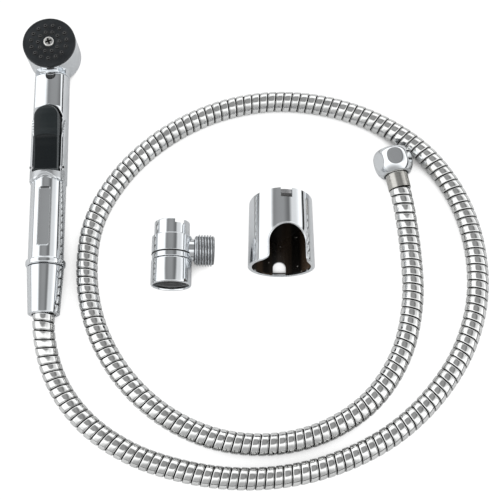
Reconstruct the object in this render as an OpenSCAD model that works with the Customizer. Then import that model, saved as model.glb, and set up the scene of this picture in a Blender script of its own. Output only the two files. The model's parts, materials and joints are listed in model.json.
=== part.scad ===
// Handheld bath sprayer: a handset on a metal hose, with its tap adapter and its wall cup,
// all lying on one surface. Millimetres, +Z up, +Y along the handset towards its head.

/* [Handset] */
// Radius of the lower grip
grip_r = 11.5; // [11:0.1:12]
// Radius of the upper housing that carries the lever
housing_r = 12.2; // [11.9:0.1:12.6]
// Radius of the housing at the head's neck
neck_r = 11.8; // [11.6:0.1:12.2]
// Where the raised lever housing starts, from the hose end
housing_y = 89.5; // [86:0.5:92]
// Where the casing ends and the head's neck starts
casing_end_y = 166.6; // [162:0.2:167]
// Radius of the casing's inside
casing_bore_r = 9.6; // [9.2:0.1:9.8]
// Turn of the handset on the surface, in degrees
handset_turn = 1.35; // [0:0.05:2]

/* [Head] */
// Radius of the drum-shaped head
head_r = 18; // [17:0.5:20]
// Lean of the spray face towards the grip, in degrees
head_lean = 2; // [0:1:10]
// Where the head's axis crosses the handset's axis, from the hose end
head_y = 186.6; // [185:0.1:190]
// Nozzles in the outer ring
outer_nozzles = 15; // [12:1:16]
// Nozzles in the inner ring
inner_nozzles = 10; // [7:1:10]

/* [Lever] */
// Width of the lever
lever_w = 16.8; // [15:0.1:17.4]
// Where the lever's free end lies, from the hose end
lever_end_y = 140.4; // [138:0.2:141]
// Radius of the hinge pin
pin_r = 1.2; // [1:0.1:1.5]

/* [Hose] */
// Outer radius of the hose
hose_r = 7; // [6.5:0.1:7.2]
// Thickness of its steel winding
winding_t = 0.7; // [0.5:0.1:1]
// Bore radius of the inner tube
liner_bore_r = 4; // [3:0.5:5]
// Width across the flats of the swivel nut
nut_flats = 24; // [23:0.5:25]

/* [Tap adapter] */
// Outer radius of the swivel collar
collar_r = 13.2; // [12.8:0.1:14]
// Bore radius of the collar, an M24 x 1 female thread
collar_bore_r = 11.46; // [11:0.02:11.6]
// Outer radius of the tee body
tee_r = 13.05; // [12.6:0.05:13.1]
// Roll of the adapter until its outlet rests on the surface, in degrees
adapter_roll = 5.7; // [0:0.1:8]

/* [Wall cup] */
// Outer radius at the open end
cup_open_r = 21.5; // [21:0.1:23]
// Outer radius at the wall end
cup_wall_r = 20.6; // [20.2:0.1:21.4]
// Length along the cup's axis
cup_len = 43.2; // [40:0.2:48]
// Width of the slot that takes the handset's neck
cup_slot_w = 24.7; // [24.2:0.1:26]
// Slope of the wall end, in degrees
wall_slope = 10.2; // [6:0.2:14]
// Roll of the cup on the surface, in degrees
cup_roll = 12.4; // [0:0.2:20]
// Turn of the rear window from opposite the slot, in degrees
rear_window_turn = -10.3; // [-14:0.1:0]
// Turn of the wall notch from the slot's centre line, in degrees
wall_notch_turn = -3.5; // [-8:0.1:0]

/* [Hidden] */

$fn = 96;
eps = 0.01;
big = 200;

// Where each loose piece lies on the surface
handset_at = [-75.5, -103, 13];
nut_at = [152.9, 2.0, 12];
nut_turn = 11;
adapter_at = [5.5, -83.9, 13.2];
cup_at = [76.7, -73.5];

chrome = [0.80, 0.81, 0.83];
steel = [0.66, 0.66, 0.67];
black_plastic = [0.13, 0.14, 0.15];
rubber = [0.07, 0.07, 0.07];
white_plastic = [0.86, 0.86, 0.84];
brass = [0.72, 0.60, 0.34];

// Handset stations along its own axis
cone_len = 31.3;
ring_y = 31.7;
ring_end_y = 35.8;
ring_r = 12.9;
pin_y = 98;
pin_z = 8;
stem_y = 124;
slot_half_w = 9.3;
slot_end_y = 143;
block_y = 112;
block_end_y = 134;
block_top_z = 4.4;
lower_tube_z = -4.5;
upper_tube_z = -1.6;

// Head stations along its own leaning axis
back_z = -11.6;
seat_z = 7.2;
face_z = 14.5;
face_top_z = 17;
nozzle_top_z = 18.1;
outer_ring_r = 12.1;
inner_ring_r = 7.2;

// G1/2 pipe thread
thread_r = 10.4775;
thread_core_r = 9.35;

// ---------- helpers ----------

// A solid of revolution about the Y axis, from [radius, y] points
module turned(points) {
    rotate([-90, 0, 0]) mirror([0, 1, 0]) rotate_extrude() polygon(points);
}

// A cylinder along Y from y0 to y1
module rod_y(r, y0, y1) {
    translate([0, y0, 0]) rotate([-90, 0, 0]) cylinder(r = r, h = y1 - y0);
}

// A cylinder along X from x0 to x1
module rod_x(r, x0, x1) {
    translate([x0, 0, 0]) rotate([0, 90, 0]) cylinder(r = r, h = x1 - x0);
}

// A ring about the Y axis
module ring_y(r, bore, y0, y1) {
    difference() {
        rod_y(r, y0, y1);
        rod_y(bore, y0 - 1, y1 + 1);
    }
}

// A side profile in [y, z], drawn through the width w across X
module side_plate(points, w) {
    rotate([90, 0, 90]) linear_extrude(height = w, center = true) polygon(points);
}

// Points of a quarter-round edge of radius r about c, from angle a0 to a1
function edge(c, r, a0, a1, n = 6) =
    [for (i = [0:n]) let (a = a0 + (a1 - a0) * i / n) [c[0] + r * cos(a), c[1] + r * sin(a)]];

module place_handset() {
    translate(handset_at) rotate([0, 0, handset_turn]) children();
}

module place_head() {
    place_handset() translate([0, head_y, 0]) rotate([head_lean, 0, 0]) children();
}

module place_nut() {
    translate(nut_at) rotate([0, 0, nut_turn]) children();
}

module place_adapter() {
    translate(adapter_at) rotate([0, adapter_roll, 0]) children();
}

cup_tilt = atan((cup_open_r - cup_wall_r) / cup_len);
module place_cup() {
    translate([cup_at[0], cup_at[1], cup_open_r * cos(cup_tilt)])
        rotate([-cup_tilt, 0, 0]) rotate([0, cup_roll, 0]) children();
}

// ---------- handset ----------

module casing_outside() {
    turned([[0, ring_end_y], [grip_r, ring_end_y], [grip_r + 0.15, housing_y],
        [housing_r - 0.2, housing_y], [housing_r, housing_y + 0.6], [neck_r, casing_end_y],
        [0, casing_end_y]]);
    intersection() {
        rod_y(13.4, housing_y, 130);
        side_plate([[housing_y, 0], [housing_y, 8.5], [93.5, 13.4], [98, 13.4],
            [130, 7.6], [130, 0]], 23);
    }
}

module lever_slot() {
    translate([-slot_half_w, 95.5, 0]) cube([2 * slot_half_w, slot_end_y - slot_half_w - 95.5, 20]);
    translate([0, slot_end_y - slot_half_w, 0]) cylinder(r = slot_half_w, h = 20);
}

// Shallow panel let into the front of the grip
module grip_panel() {
    corner = 2;
    half = 4.1;
    floor_z = 10.5;
    floor_r = 30;
    intersection() {
        difference() {
            rod_y(grip_r + 2, 42, 85);
            translate([0, 0, floor_z - floor_r]) rod_y(floor_r, 41, 86);
        }
        union() {
            translate([-half, 43.6 + corner, 0]) cube([2 * half, 39.8 - 2 * corner, 20]);
            translate([-half + corner, 43.6, 0]) cube([2 * (half - corner), 39.8, 20]);
            for (x = [-1, 1], y = [43.6 + corner, 83.4 - corner])
                translate([x * (half - corner), y, 0]) cylinder(r = corner, h = 20);
        }
    }
}

module handle_body() {
    color(chrome) place_handset() difference() {
        casing_outside();
        rod_y(casing_bore_r, ring_end_y - 1, casing_end_y + 1);
        lever_slot();
        grip_panel();
        translate([0, pin_y, pin_z]) rod_x(pin_r + 0.05, -14, 14);
    }
}

// Places a copy of a nozzle feature at every nozzle
module at_nozzles() {
    for (i = [0:outer_nozzles - 1])
        rotate([0, 0, 90 + (i + 0.5) * 360 / outer_nozzles]) translate([outer_ring_r, 0, 0]) children();
    for (i = [0:inner_nozzles - 1])
        rotate([0, 0, 90 + (i + 0.5) * 360 / inner_nozzles]) translate([inner_ring_r, 0, 0]) children();
}

module head_shell() {
    corner = 4;
    color(chrome) difference() {
        union() {
            place_head() rotate_extrude() polygon(concat([[0, back_z]],
                edge([head_r - corner, back_z + corner], corner, -90, 0), [[head_r, face_z], [0, face_z]]));
            place_handset() rod_y(neck_r, casing_end_y + 0.2, 178);
            place_handset() rod_y(casing_bore_r - 0.1, 150, casing_end_y + 0.3);
        }
        difference() {
            place_head() union() {
                translate([0, 0, back_z + 2.4]) cylinder(r = 14, h = 40);
                translate([0, 0, seat_z]) cylinder(r = 16.2, h = 40);
            }
            place_head() translate([0, 0, back_z]) cylinder(r = 3.4, h = 9.4 - back_z);
        }
        place_head() translate([0, 0, -6]) cylinder(r = 1.95, h = 40);
        place_handset() translate([0, 0, upper_tube_z]) rod_y(4.05, 149, 156);
        place_handset() translate([0, 0, upper_tube_z]) rod_y(2.6, 155, 178);
    }
}

module spray_face() {
    color(black_plastic) place_head() difference() {
        union() {
            rotate_extrude() polygon(concat([[0, face_z], [head_r - 0.1, face_z]],
                edge([head_r - 1.0, face_top_z - 0.9], 0.9, 0, 90), [[0, face_top_z]]));
            translate([0, 0, 9]) cylinder(r = 15.9, h = 6);
        }
        translate([0, 0, 8]) cylinder(r = 14.6, h = face_z - 8);
        at_nozzles() translate([0, 0, 10]) cylinder(r = 1.4, h = 10, $fn = 24);
        translate([0, 0, 10]) cylinder(r = 2.1, h = 10, $fn = 32);
    }
}

module nozzle_mat() {
    color(rubber) place_head() difference() {
        union() {
            translate([0, 0, 12.2]) cylinder(r = 14.3, h = 2.2);
            at_nozzles() {
                translate([0, 0, 14.2]) cylinder(r = 1.25, h = face_top_z - 14.2, $fn = 24);
                translate([0, 0, face_top_z]) cylinder(r1 = 1.25, r2 = 0.9, h = nozzle_top_z - face_top_z, $fn = 24);
            }
        }
        at_nozzles() translate([0, 0, 12]) cylinder(r = 0.42, h = 8, $fn = 16);
        translate([0, 0, 12]) cylinder(r = 2.1, h = 8, $fn = 32);
    }
}

module distributor() {
    color(white_plastic) place_head() difference() {
        translate([0, 0, 9.6]) cylinder(r = 14.3, h = 2.4);
        at_nozzles() translate([0, 0, 9]) cylinder(r = 0.8, h = 4, $fn = 16);
        translate([0, 0, 9]) cylinder(r = 2.1, h = 4, $fn = 32);
    }
}

module face_screw() {
    slot_w = 0.95;
    color(steel) place_head() difference() {
        union() {
            rotate_extrude() polygon(concat([[0, face_top_z + 0.02], [3.7, face_top_z + 0.02]],
                edge([2.9, face_top_z + 0.5], 0.8, 0, 90), [[0, face_top_z + 1.3]]));
            translate([0, 0, 1]) cylinder(r = 1.9, h = face_top_z - 0.9, $fn = 48);
        }
        for (a = [20, 110])
            rotate([0, 0, a]) translate([-2.1, -slot_w / 2, face_top_z + 0.2]) cube([4.2, slot_w, 3]);
    }
}

module head_gasket() {
    color(rubber) place_head() translate([0, 0, 8.1]) rotate_extrude()
        translate([15.1, 0]) circle(r = 0.85, $fn = 24);
}

module lever() {
    half = lever_w / 2;
    color(black_plastic) place_handset() difference() {
        intersection() {
            side_plate([[95.9, 6.4], [95.9, 11.3], [96.8, 12.1], [100, 12.0], [105, 12.2],
                [111, 12.8], [117, 13.8], [120.5, 14.8], [123, 15.6], [128, 16.5], [133, 16.8],
                [137, 16.4], [139.4, 15.3], [lever_end_y, 13.6], [lever_end_y, 12.3],
                [139, 10.8], [128, 9.3], [105, 6.2], [99, 5.6], [97, 5.8]], lever_w);
            union() {
                translate([-half, 95, 0]) cube([lever_w, lever_end_y - half - 95, 20]);
                translate([0, lever_end_y - half, 0]) cylinder(r = half, h = 20);
            }
            translate([0, 0, -3.2]) rod_y(20, 90, 145);
        }
        translate([0, pin_y, pin_z]) rod_x(pin_r + 0.08, -12, 12);
    }
}

module lever_pin() {
    color(steel) place_handset() translate([0, pin_y, pin_z]) rod_x(pin_r, -10.5, 10.5);
}

module valve_block() {
    color(white_plastic) place_handset() difference() {
        rod_y(casing_bore_r - 0.2, block_y, block_end_y);
        translate([-20, block_y - 1, block_top_z]) cube([40, 40, 20]);
        translate([0, stem_y, -8.4]) cylinder(r = 3.5, h = 4.8, $fn = 48);
        translate([0, stem_y, -4]) cylinder(r = 2.6, h = 4, $fn = 48);
        translate([0, stem_y, -1]) cylinder(r = 1.88, h = 3, $fn = 48);
        translate([0, stem_y, 1.2]) cylinder(r = 3.6, h = 6, $fn = 48);
        translate([0, 0, -6]) rod_y(2, block_y - 1, stem_y);
        translate([0, 0, upper_tube_z]) rod_y(1.8, stem_y, block_end_y + 1);
    }
}

module valve_stem() {
    color(steel) place_handset() translate([0, stem_y, 0]) rotate_extrude($fn = 48)
        polygon([[0, -5.2], [1.2, -5.2], [1.2, -3.5], [1.8, -3.5], [1.8, 6.9], [3.2, 6.9],
            [3.2, 7.6], [1.8, 7.6], [1.5, 8.2], [0, 8.2]]);
}

// Swept tube: a ring of points about each centre, square to the path
function unit(v) = v / norm(v);
function ring_at(p, t, r, sides) =
    let (side = unit(cross(t, [0, 0, 1])), up = cross(side, t))
    [for (k = [0:sides - 1]) p + r * (cos(360 * k / sides) * side + sin(360 * k / sides) * up)];
function heading(path, i) =
    unit(path[min(i + 1, len(path) - 1)] - path[max(i - 1, 0)]);
function tube_points(path, r, sides) =
    [for (i = [0:len(path) - 1]) each ring_at(path[i], heading(path, i), r, sides)];
function skin(rings, sides, base, flip) =
    [for (i = [0:rings - 2], k = [0:sides - 1])
        let (a = base + i * sides + k, b = base + i * sides + (k + 1) % sides,
            c = b + sides, d = a + sides)
        flip ? [a, d, c, b] : [a, b, c, d]];

module solid_tube(path, r, sides) {
    n = len(path);
    polyhedron(points = tube_points(path, r, sides), faces = concat(skin(n, sides, 0, false),
        [[for (k = [sides - 1:-1:0]) k]], [[for (k = [0:sides - 1]) (n - 1) * sides + k]]), convexity = 10);
}

module hollow_tube(path, r, bore, sides) {
    n = len(path);
    inner = n * sides;
    last = (n - 1) * sides;
    near_end = [for (k = [0:sides - 1]) let (j = (k + 1) % sides) [k, inner + k, inner + j, j]];
    far_end = [for (k = [0:sides - 1]) let (j = (k + 1) % sides)
        [last + k, last + j, inner + last + j, inner + last + k]];
    polyhedron(points = concat(tube_points(path, r, sides), tube_points(path, bore, sides)),
        faces = concat(skin(n, sides, 0, false), skin(n, sides, inner, true), near_end, far_end),
        convexity = 10);
}

module valve_spring() {
    turns = 4.5;
    coil_r = 2.65;
    z0 = 3.1;
    rise = 3.4;
    coil = [for (i = [0:18 * turns])
        [coil_r * cos(i * 20), coil_r * sin(i * 20), z0 + rise * i / (18 * turns)]];
    color(steel) place_handset() translate([0, stem_y, 0]) solid_tube(coil, 0.3, 6);
}

module stem_seal() {
    color(rubber) place_handset() translate([0, stem_y, 1.9]) rotate_extrude($fn = 48)
        translate([2.8, 0]) circle(r = 0.66, $fn = 20);
}

module valve_washer() {
    color(rubber) place_handset() translate([0, stem_y, -5]) difference() {
        cylinder(r = 3.1, h = 1.3, $fn = 48);
        translate([0, 0, -1]) cylinder(r = 1.2, h = 4, $fn = 32);
    }
}

module upper_tube() {
    color(white_plastic) place_handset() translate([0, 0, upper_tube_z]) ring_y(4, 2.6, block_end_y, 155.9);
}

module lower_tube() {
    color(white_plastic) place_handset() translate([0, 0, lower_tube_z]) ring_y(4.8, 3.4, 41, block_y);
}

module grip_ring() {
    lip = 1.2;
    color(chrome) place_handset() turned(concat([[9.7, ring_y], [ring_r - lip, ring_y]],
        edge([ring_r - lip, ring_y + lip], lip, -90, 0), edge([ring_r - lip, ring_end_y - lip], lip, 0, 90),
        [[9.7, ring_end_y]]));
}

module inlet_nipple() {
    color(brass) place_handset() difference() {
        union() {
            rod_y(9, 18.3, ring_y);
            rod_y(casing_bore_r - 0.05, ring_y, 44);
        }
        rod_y(5.2, 17, 41);
        translate([0, 0, lower_tube_z]) rod_y(4.85, 40.9, 45);
    }
}

module inlet_washer() {
    color(rubber) place_handset() ring_y(8.8, 5.2, 16.4, 18.3);
}

module cone_nut() {
    lip = 0.8;
    color(chrome) place_handset() difference() {
        turned(concat([[0, 0]], edge([10.2 - lip, lip], lip, -90, 0),
            edge([11.9 - lip, cone_len - lip], lip, 0, 90), [[0, cone_len]]));
        rod_y(7.7, -1, 14);
        rod_y(thread_core_r, 14, cone_len + 1);
    }
}

module near_ferrule() {
    color(steel) place_handset() difference() {
        union() {
            rod_y(7.3, 8, 14.4);
            rod_y(8.9, 14.4, 16.4);
        }
        rod_y(4.2, 7, 17);
    }
}

// ---------- hose ----------

// The hose's centre line from the cone nut round both loops to the swivel nut
route = [[-75.69, -95.4, 13], [-75.5, -103, 13], [-75.1, -112, 12.3], [-73.6, -123, 9.8], [-70, -136, 7.5],
    [-62, -152, 7], [-47, -170, 7], [-19, -189, 7], [13, -200, 7], [47, -205, 7], [82, -203, 7],
    [115, -194, 7], [146, -178, 7], [173, -154, 7], [193, -125, 7], [204, -92, 7], [205, -58, 7],
    [195.5, -21.4, 7], [175, 10.1, 7], [143.8, 33.1, 7], [108, 46, 7], [70, 49, 7], [33, 41, 7], [-2, 22, 7],
    [-30, -6, 7], [-47, -39, 7], [-50, -75, 7], [-42, -111, 7], [-23, -143, 7], [4, -167, 7],
    [36, -181, 7], [71, -184, 7], [104, -176, 7], [133, -157, 7], [153, -128, 7], [162, -94, 7],
    [162.5, -60, 7], [160.9, -42, 8.3], [158.6, -27.8, 11.4], [156.62, -17.14, 12]];

// Smooth curve through the points, square to the chords on both sides of each
function slope(p, i) =
    let (n = len(p) - 1, a = p[max(i - 1, 0)], b = p[i], c = p[min(i + 1, n)],
        da = max(norm(b - a), eps), dc = max(norm(c - b), eps))
    i == 0 ? unit(c - b) : i == n ? unit(b - a) : ((c - b) / dc * da + (b - a) / da * dc) / (da + dc);
function between(p, i, t) =
    let (d = norm(p[i + 1] - p[i]))
    (2 * t * t * t - 3 * t * t + 1) * p[i] + (t * t * t - 2 * t * t + t) * d * slope(p, i)
    + (3 * t * t - 2 * t * t * t) * p[i + 1] + (t * t * t - t * t) * d * slope(p, i + 1);
function smooth(p, steps) =
    concat([for (i = [0:len(p) - 2], s = [0:steps - 1]) between(p, i, s / steps)], [p[len(p) - 1]]);

hose_path = [for (p = smooth(route, 2)) [p[0], p[1], max(p[2], hose_r)]];

module hose() {
    color(steel) hollow_tube(hose_path, hose_r, hose_r - winding_t, 12);
}

module hose_liner() {
    color(rubber) hollow_tube(hose_path, hose_r - winding_t - 0.15, liner_bore_r, 12);
}

module far_ferrule() {
    color(steel) place_nut() difference() {
        union() {
            rod_y(7.4, -19.2, -3.4);
            rod_y(8.9, -3.4, -1.4);
        }
        rod_y(4.2, -22, 0);
    }
}

module hose_nut() {
    ball_r = 13;
    half_len = 8.7;
    color(chrome) place_nut() difference() {
        intersection() {
            turned(concat([[0, -half_len]],
                [for (i = [0:10]) let (y = -half_len * (1 - i / 10)) [sqrt(ball_r * ball_r - y * y), y]],
                [for (i = [1:10]) let (y = half_len * i / 10) [ball_r * pow(1 - pow(y / 11, 3), 1 / 3), y]],
                [[0, half_len]]));
            rotate([90, 0, 0]) cylinder(r = nut_flats / 2 / cos(30), h = 40, center = true, $fn = 6);
        }
        rod_y(8.3, -10, 0);
        rod_y(thread_core_r + 0.6, -3.8, 0.8);
        rod_y(thread_core_r, 0, 10);
        turned([[0, half_len - 0.5], [thread_core_r, half_len - 0.5], [thread_core_r + 0.7, half_len + 0.2],
            [0, half_len + 0.2]]);
    }
}

module nut_washer() {
    color(rubber) place_nut() ring_y(8.9, 5.2, -1.4, 0.6);
}

// ---------- tap adapter ----------

outlet_y = 24.5;

module adapter_body() {
    lip = 0.5;
    color(chrome) place_adapter() difference() {
        union() {
            turned(concat([[0, 21.2]], edge([tee_r - lip, 21.2 + lip], lip, -90, 0),
                edge([tee_r - 0.8, 33 - 0.8], 0.8, 0, 90), [[0, 33]]));
            rod_y(9.3, 11.2, 21.3);
            translate([0, outlet_y, 0]) rod_x(7.2, 8, 14.2);
        }
        rod_y(7, 10, 28.2);
        rod_y(9.6, 28, 34);
        rod_y(20, -5, 11.2);
        translate([0, outlet_y, 0]) rod_x(4.5, 0, 20);
        translate([0, outlet_y, 0]) rod_x(6.6, 11, 20);
        ring_y(12, 8.9, 12, 13);
    }
}

module outlet_nipple() {
    color(chrome) place_adapter() translate([0, outlet_y, 0]) difference() {
        union() {
            rod_x(6.55, 11, 16.2);
            rotate([0, 0, -90]) turned([[0, 15.7], [9.6, 15.7], [thread_r, 16.6],
                [thread_r, 26.6], [9.5, 27.6], [0, 27.6]]);
        }
        rod_x(4.5, 10, 30);
        rod_x(6.8, 18.2, 30);
    }
}

module aerator_housing() {
    notch_w = 7.3;
    notch_turn = 26;
    color(chrome) place_adapter() difference() {
        union() {
            turned(concat([[0, 33]], [[11.6, 33]], edge([11.6 - 0.7, 42.8 - 0.7], 0.7, 0, 90), [[0, 42.8]]));
            rod_y(9.55, 28.2, 33.1);
        }
        rod_y(8, 27, 44);
        rod_y(9.95, 36.8, 44);
        rotate([0, notch_turn, 0]) translate([-notch_w / 2, 40, 0]) cube([notch_w, 5, 20]);
        rotate([0, notch_turn + 180, 0]) translate([-notch_w / 2, 40, 0]) cube([notch_w, 5, 20]);
    }
}

module aerator_mesh() {
    color(white_plastic) place_adapter() difference() {
        rod_y(9.85, 36.9, 39);
        for (ring = [0:3], k = [0:max(0, ring * 6 - 1)])
            rotate([0, ring == 0 ? 0 : k * 60 / ring, 0]) translate([0, 36, ring * 2.3])
                rotate([-90, 0, 0]) cylinder(r = 0.8, h = 4, $fn = 16);
    }
}

module adapter_ring() {
    lip = 0.5;
    color(chrome) place_adapter() difference() {
        turned(concat(edge([12.75 - lip, 17.2 + lip], lip, -90, 0), edge([12.75 - lip, 20.8 - lip], lip, 0, 90),
            [[9.4, 20.8], [9.4, 17.2]]));
        translate([0, outlet_y, 0]) rod_x(7.4, 5, 20);
    }
}

module adapter_collar() {
    lip = 0.9;
    color(chrome) place_adapter() difference() {
        turned(concat([[0, 0]], edge([collar_r - lip, lip], lip, -90, 0),
            edge([collar_r - lip, 16.8 - lip], lip, 0, 90), [[0, 16.8]]));
        rod_y(collar_bore_r, -1, 9.2);
        rod_y(11, 9, 13.4);
        rod_y(9.6, 13, 18);
    }
}

module collar_circlip() {
    color(steel) place_adapter() difference() {
        ring_y(10.7, 8.95, 12.1, 12.9);
        translate([-1.5, 11, -20]) cube([3, 3, 20]);
    }
}

module collar_washer() {
    color(rubber) place_adapter() ring_y(10.7, 6.5, 9.4, 11.2);
}

// ---------- wall cup ----------

shell_t = 1.3;
liner_t = 1.1;

// A cone along Y that follows the cup's wall, set in by t, from y0 to y1
module cup_cone(t, y0, y1) {
    taper = (cup_open_r - cup_wall_r) / cup_len;
    turned([[0, y0], [cup_open_r - t - taper * y0, y0], [cup_open_r - t - taper * y1, y1], [0, y1]]);
}

// All that lies beyond the sloped wall end, set in by t
module beyond_wall(t) {
    translate([0, cup_len - t / cos(wall_slope), 0]) rotate([-wall_slope, 0, 0])
        translate([-50, 0, -50]) cube([100, 50, 100]);
}

// The slot for the handset's neck, cut through the side that faces up
module neck_slot() {
    arch_r = cup_slot_w / 2;
    corner = 3;
    arch_y = 23.3 - arch_r;
    translate([-arch_r, -5, 0]) cube([cup_slot_w, arch_y + 5, 40]);
    translate([0, arch_y, 0]) cylinder(r = arch_r, h = 40);
    for (x = [-1, 1])
        difference() {
            translate([x * (arch_r + corner / 2), (corner - 4) / 2, 15]) cube([corner + eps, corner + 4, 50], center = true);
            translate([x * (arch_r + corner), corner, -20]) cylinder(r = corner, h = 90, $fn = 48);
        }
}

// Arched window opposite the slot, closed by the rim
module rear_window() {
    window_r = 4.3;
    rotate([0, rear_window_turn, 0]) {
        translate([-window_r, 1.8, -40]) cube([2 * window_r, 3.4, 40]);
        intersection() {
            translate([0, 5.2, -40]) cylinder(r = window_r, h = 40);
            translate([-window_r, 1.8, -40]) cube([2 * window_r, 10, 40]);
        }
    }
}

module wall_notch(w) {
    rotate([0, wall_notch_turn, 0]) translate([-w / 2, cup_len - 2.6, 8]) cube([w, 20, 30]);
}

module cup_shell() {
    lip = 0.6;
    color(chrome) place_cup() difference() {
        union() {
            cup_cone(0, lip, 49);
            turned(concat([[0, 0]], edge([cup_open_r - lip, lip], lip, -90, 0), [[0, lip]]));
        }
        cup_cone(shell_t, 1, 60);
        turned([[0, -1], [19, -1], [19, 2], [0, 2]]);
        neck_slot();
        rear_window();
        wall_notch(7.4);
        beyond_wall(0);
    }
}

module cup_liner() {
    color(rubber) place_cup() difference() {
        cup_cone(shell_t, 1, 38);
        cup_cone(shell_t + liner_t, 0, 39);
        turned([[0, -1], [19, -1], [19, 2], [0, 2]]);
        neck_slot();
        rear_window();
        beyond_wall(4.2);
    }
}

module wall_plate() {
    tab_w = 6.8;
    screw_pcd = 22;
    color(steel) place_cup() difference() {
        union() {
            intersection() {
                cup_cone(shell_t + 0.1, 30, 60);
                difference() {
                    beyond_wall(3.6);
                    beyond_wall(0.4);
                }
            }
            intersection() {
                rotate([0, wall_notch_turn, 0])
                    translate([-tab_w / 2, cup_len - 2.4, 10]) cube([tab_w, 12, 12]);
                cup_cone(0.5, 30, 60);
                difference() {
                    beyond_wall(3.6);
                    beyond_wall(1.9);
                }
            }
        }
        for (x = [-1, 1])
            translate([0, cup_len, 0]) rotate([-wall_slope, 0, 0]) translate([x * screw_pcd / 2, -5, 0]) {
                rod_y(2.1, 0, 10);
                translate([0, 0.2, 0]) turned([[0, 0], [4.2, 0], [4.2, 1.2], [2.1, 3.3], [0, 3.3]]);
            }
    }
}

handle_body();
head_shell();
spray_face();
nozzle_mat();
face_screw();
head_gasket();
distributor();
lever();
lever_pin();
valve_block();
valve_stem();
valve_spring();
stem_seal();
valve_washer();
upper_tube();
lower_tube();
grip_ring();
inlet_nipple();
inlet_washer();
cone_nut();
near_ferrule();
hose();
hose_liner();
far_ferrule();
hose_nut();
nut_washer();
adapter_body();
outlet_nipple();
aerator_housing();
aerator_mesh();
adapter_ring();
adapter_collar();
collar_circlip();
collar_washer();
cup_shell();
cup_liner();
wall_plate();
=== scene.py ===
import bpy
import bmesh
import json
import math
from mathutils import Matrix, Vector


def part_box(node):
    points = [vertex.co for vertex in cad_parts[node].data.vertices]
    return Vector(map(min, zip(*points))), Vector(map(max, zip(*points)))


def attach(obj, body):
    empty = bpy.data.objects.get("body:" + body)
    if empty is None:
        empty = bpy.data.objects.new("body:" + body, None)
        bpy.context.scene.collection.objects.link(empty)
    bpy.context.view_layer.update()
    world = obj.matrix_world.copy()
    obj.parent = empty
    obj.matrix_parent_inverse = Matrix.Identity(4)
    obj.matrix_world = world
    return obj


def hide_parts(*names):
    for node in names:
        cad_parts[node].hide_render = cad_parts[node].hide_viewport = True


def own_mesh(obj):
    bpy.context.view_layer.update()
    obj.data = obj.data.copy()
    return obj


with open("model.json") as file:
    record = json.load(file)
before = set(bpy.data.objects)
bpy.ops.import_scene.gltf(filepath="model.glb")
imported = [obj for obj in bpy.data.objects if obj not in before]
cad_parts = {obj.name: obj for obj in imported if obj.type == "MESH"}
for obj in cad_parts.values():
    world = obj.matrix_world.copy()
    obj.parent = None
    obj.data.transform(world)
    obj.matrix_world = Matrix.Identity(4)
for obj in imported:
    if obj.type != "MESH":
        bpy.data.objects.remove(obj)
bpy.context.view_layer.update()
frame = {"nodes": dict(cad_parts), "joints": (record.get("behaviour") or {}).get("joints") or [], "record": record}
nodes = frame["nodes"]
joints = {j["name"]: j for j in frame["joints"]}
mounts = {m["name"]: m for m in frame["record"]["mounts"]}
scene = bpy.context.scene
mm = 0.001
print("frame loaded:", len(nodes), "parts")


camera = {"lens": 72, "elevation": 73, "distance": 0.6667, "target": (0.0563, -0.0555, 0)}


def addCamera():
    data = bpy.data.cameras.new("camera")
    data.lens = camera["lens"]
    data.clip_start = 0.01
    body = bpy.data.objects.new("camera", data)
    scene.collection.objects.link(body)
    tilt = math.radians(camera["elevation"])
    away = Vector((0, -math.cos(tilt), math.sin(tilt))) * camera["distance"]
    body.location = Vector(camera["target"]) + away
    body.rotation_euler = (math.radians(90) - tilt, 0, 0)
    scene.camera = body


addCamera()


def blend(a, b, t):
    return a + (b - a) * t


def soft(lo, hi, x):
    t = min(max((x - lo) / (hi - lo), 0), 1)
    return t * t * (3 - 2 * t)


def softMax(a, b, k):
    h = min(max(0.5 + 0.5 * (a - b) / k, 0), 1)
    return blend(b, a, h) + k * h * (1 - h)


def softMin(a, b, k):
    return -softMax(-a, -b, k)


def arc(cx, cy, r, a0, a1, n=6):
    # points of an arc, as [radius, height] pairs for a turned profile
    out = []
    for i in range(n + 1):
        a = math.radians(blend(a0, a1, i / n))
        out.append((cx + r * math.cos(a), cy + r * math.sin(a)))
    return out


def steps(lo, hi, size):
    n = max(1, round(abs(hi - lo) / size))
    return [blend(lo, hi, i / n) for i in range(n + 1)]


def finishMesh(name, bm, material, smoothAngle=35):
    bmesh.ops.recalc_face_normals(bm, faces=bm.faces)
    mesh = bpy.data.meshes.new(name)
    bm.to_mesh(mesh)
    bm.free()
    piece = bpy.data.objects.new(name, mesh)
    scene.collection.objects.link(piece)
    shadeSmooth(piece, smoothAngle)
    if material:
        mesh.materials.append(material)
    return piece


def shadeSmooth(piece, angle=35):
    mesh = piece.data
    mesh.polygons.foreach_set("use_smooth", [True] * len(mesh.polygons))
    mesh.set_sharp_from_angle(angle=math.radians(angle))


def turned(name, place, profile, material, sides=128, closed=False, shape=None, smoothAngle=35):
    # a shape turned about its own Y axis, from (radius, y) pairs in millimetres
    bm = bmesh.new()
    rings = []
    for r, y in profile:
        ring = []
        for k in range(sides):
            a = 2 * math.pi * k / sides
            rr, yy = shape(r, y, a) if shape else (r, y)
            ring.append(bm.verts.new(place @ Vector((rr * math.sin(a), yy, rr * math.cos(a)))))
        rings.append(ring)
    pairs = list(zip(rings, rings[1:]))
    if closed:
        pairs.append((rings[-1], rings[0]))
    for one, two in pairs:
        for k in range(sides):
            j = (k + 1) % sides
            bm.faces.new((one[k], one[j], two[j], two[k]))
    if not closed:
        for ring, (r, y) in ((rings[0], profile[0]), (rings[-1], profile[-1])):
            if r > 1e-6:
                bm.faces.new(ring)
    bmesh.ops.remove_doubles(bm, verts=bm.verts, dist=1e-7)
    return finishMesh(name, bm, material, smoothAngle)


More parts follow.
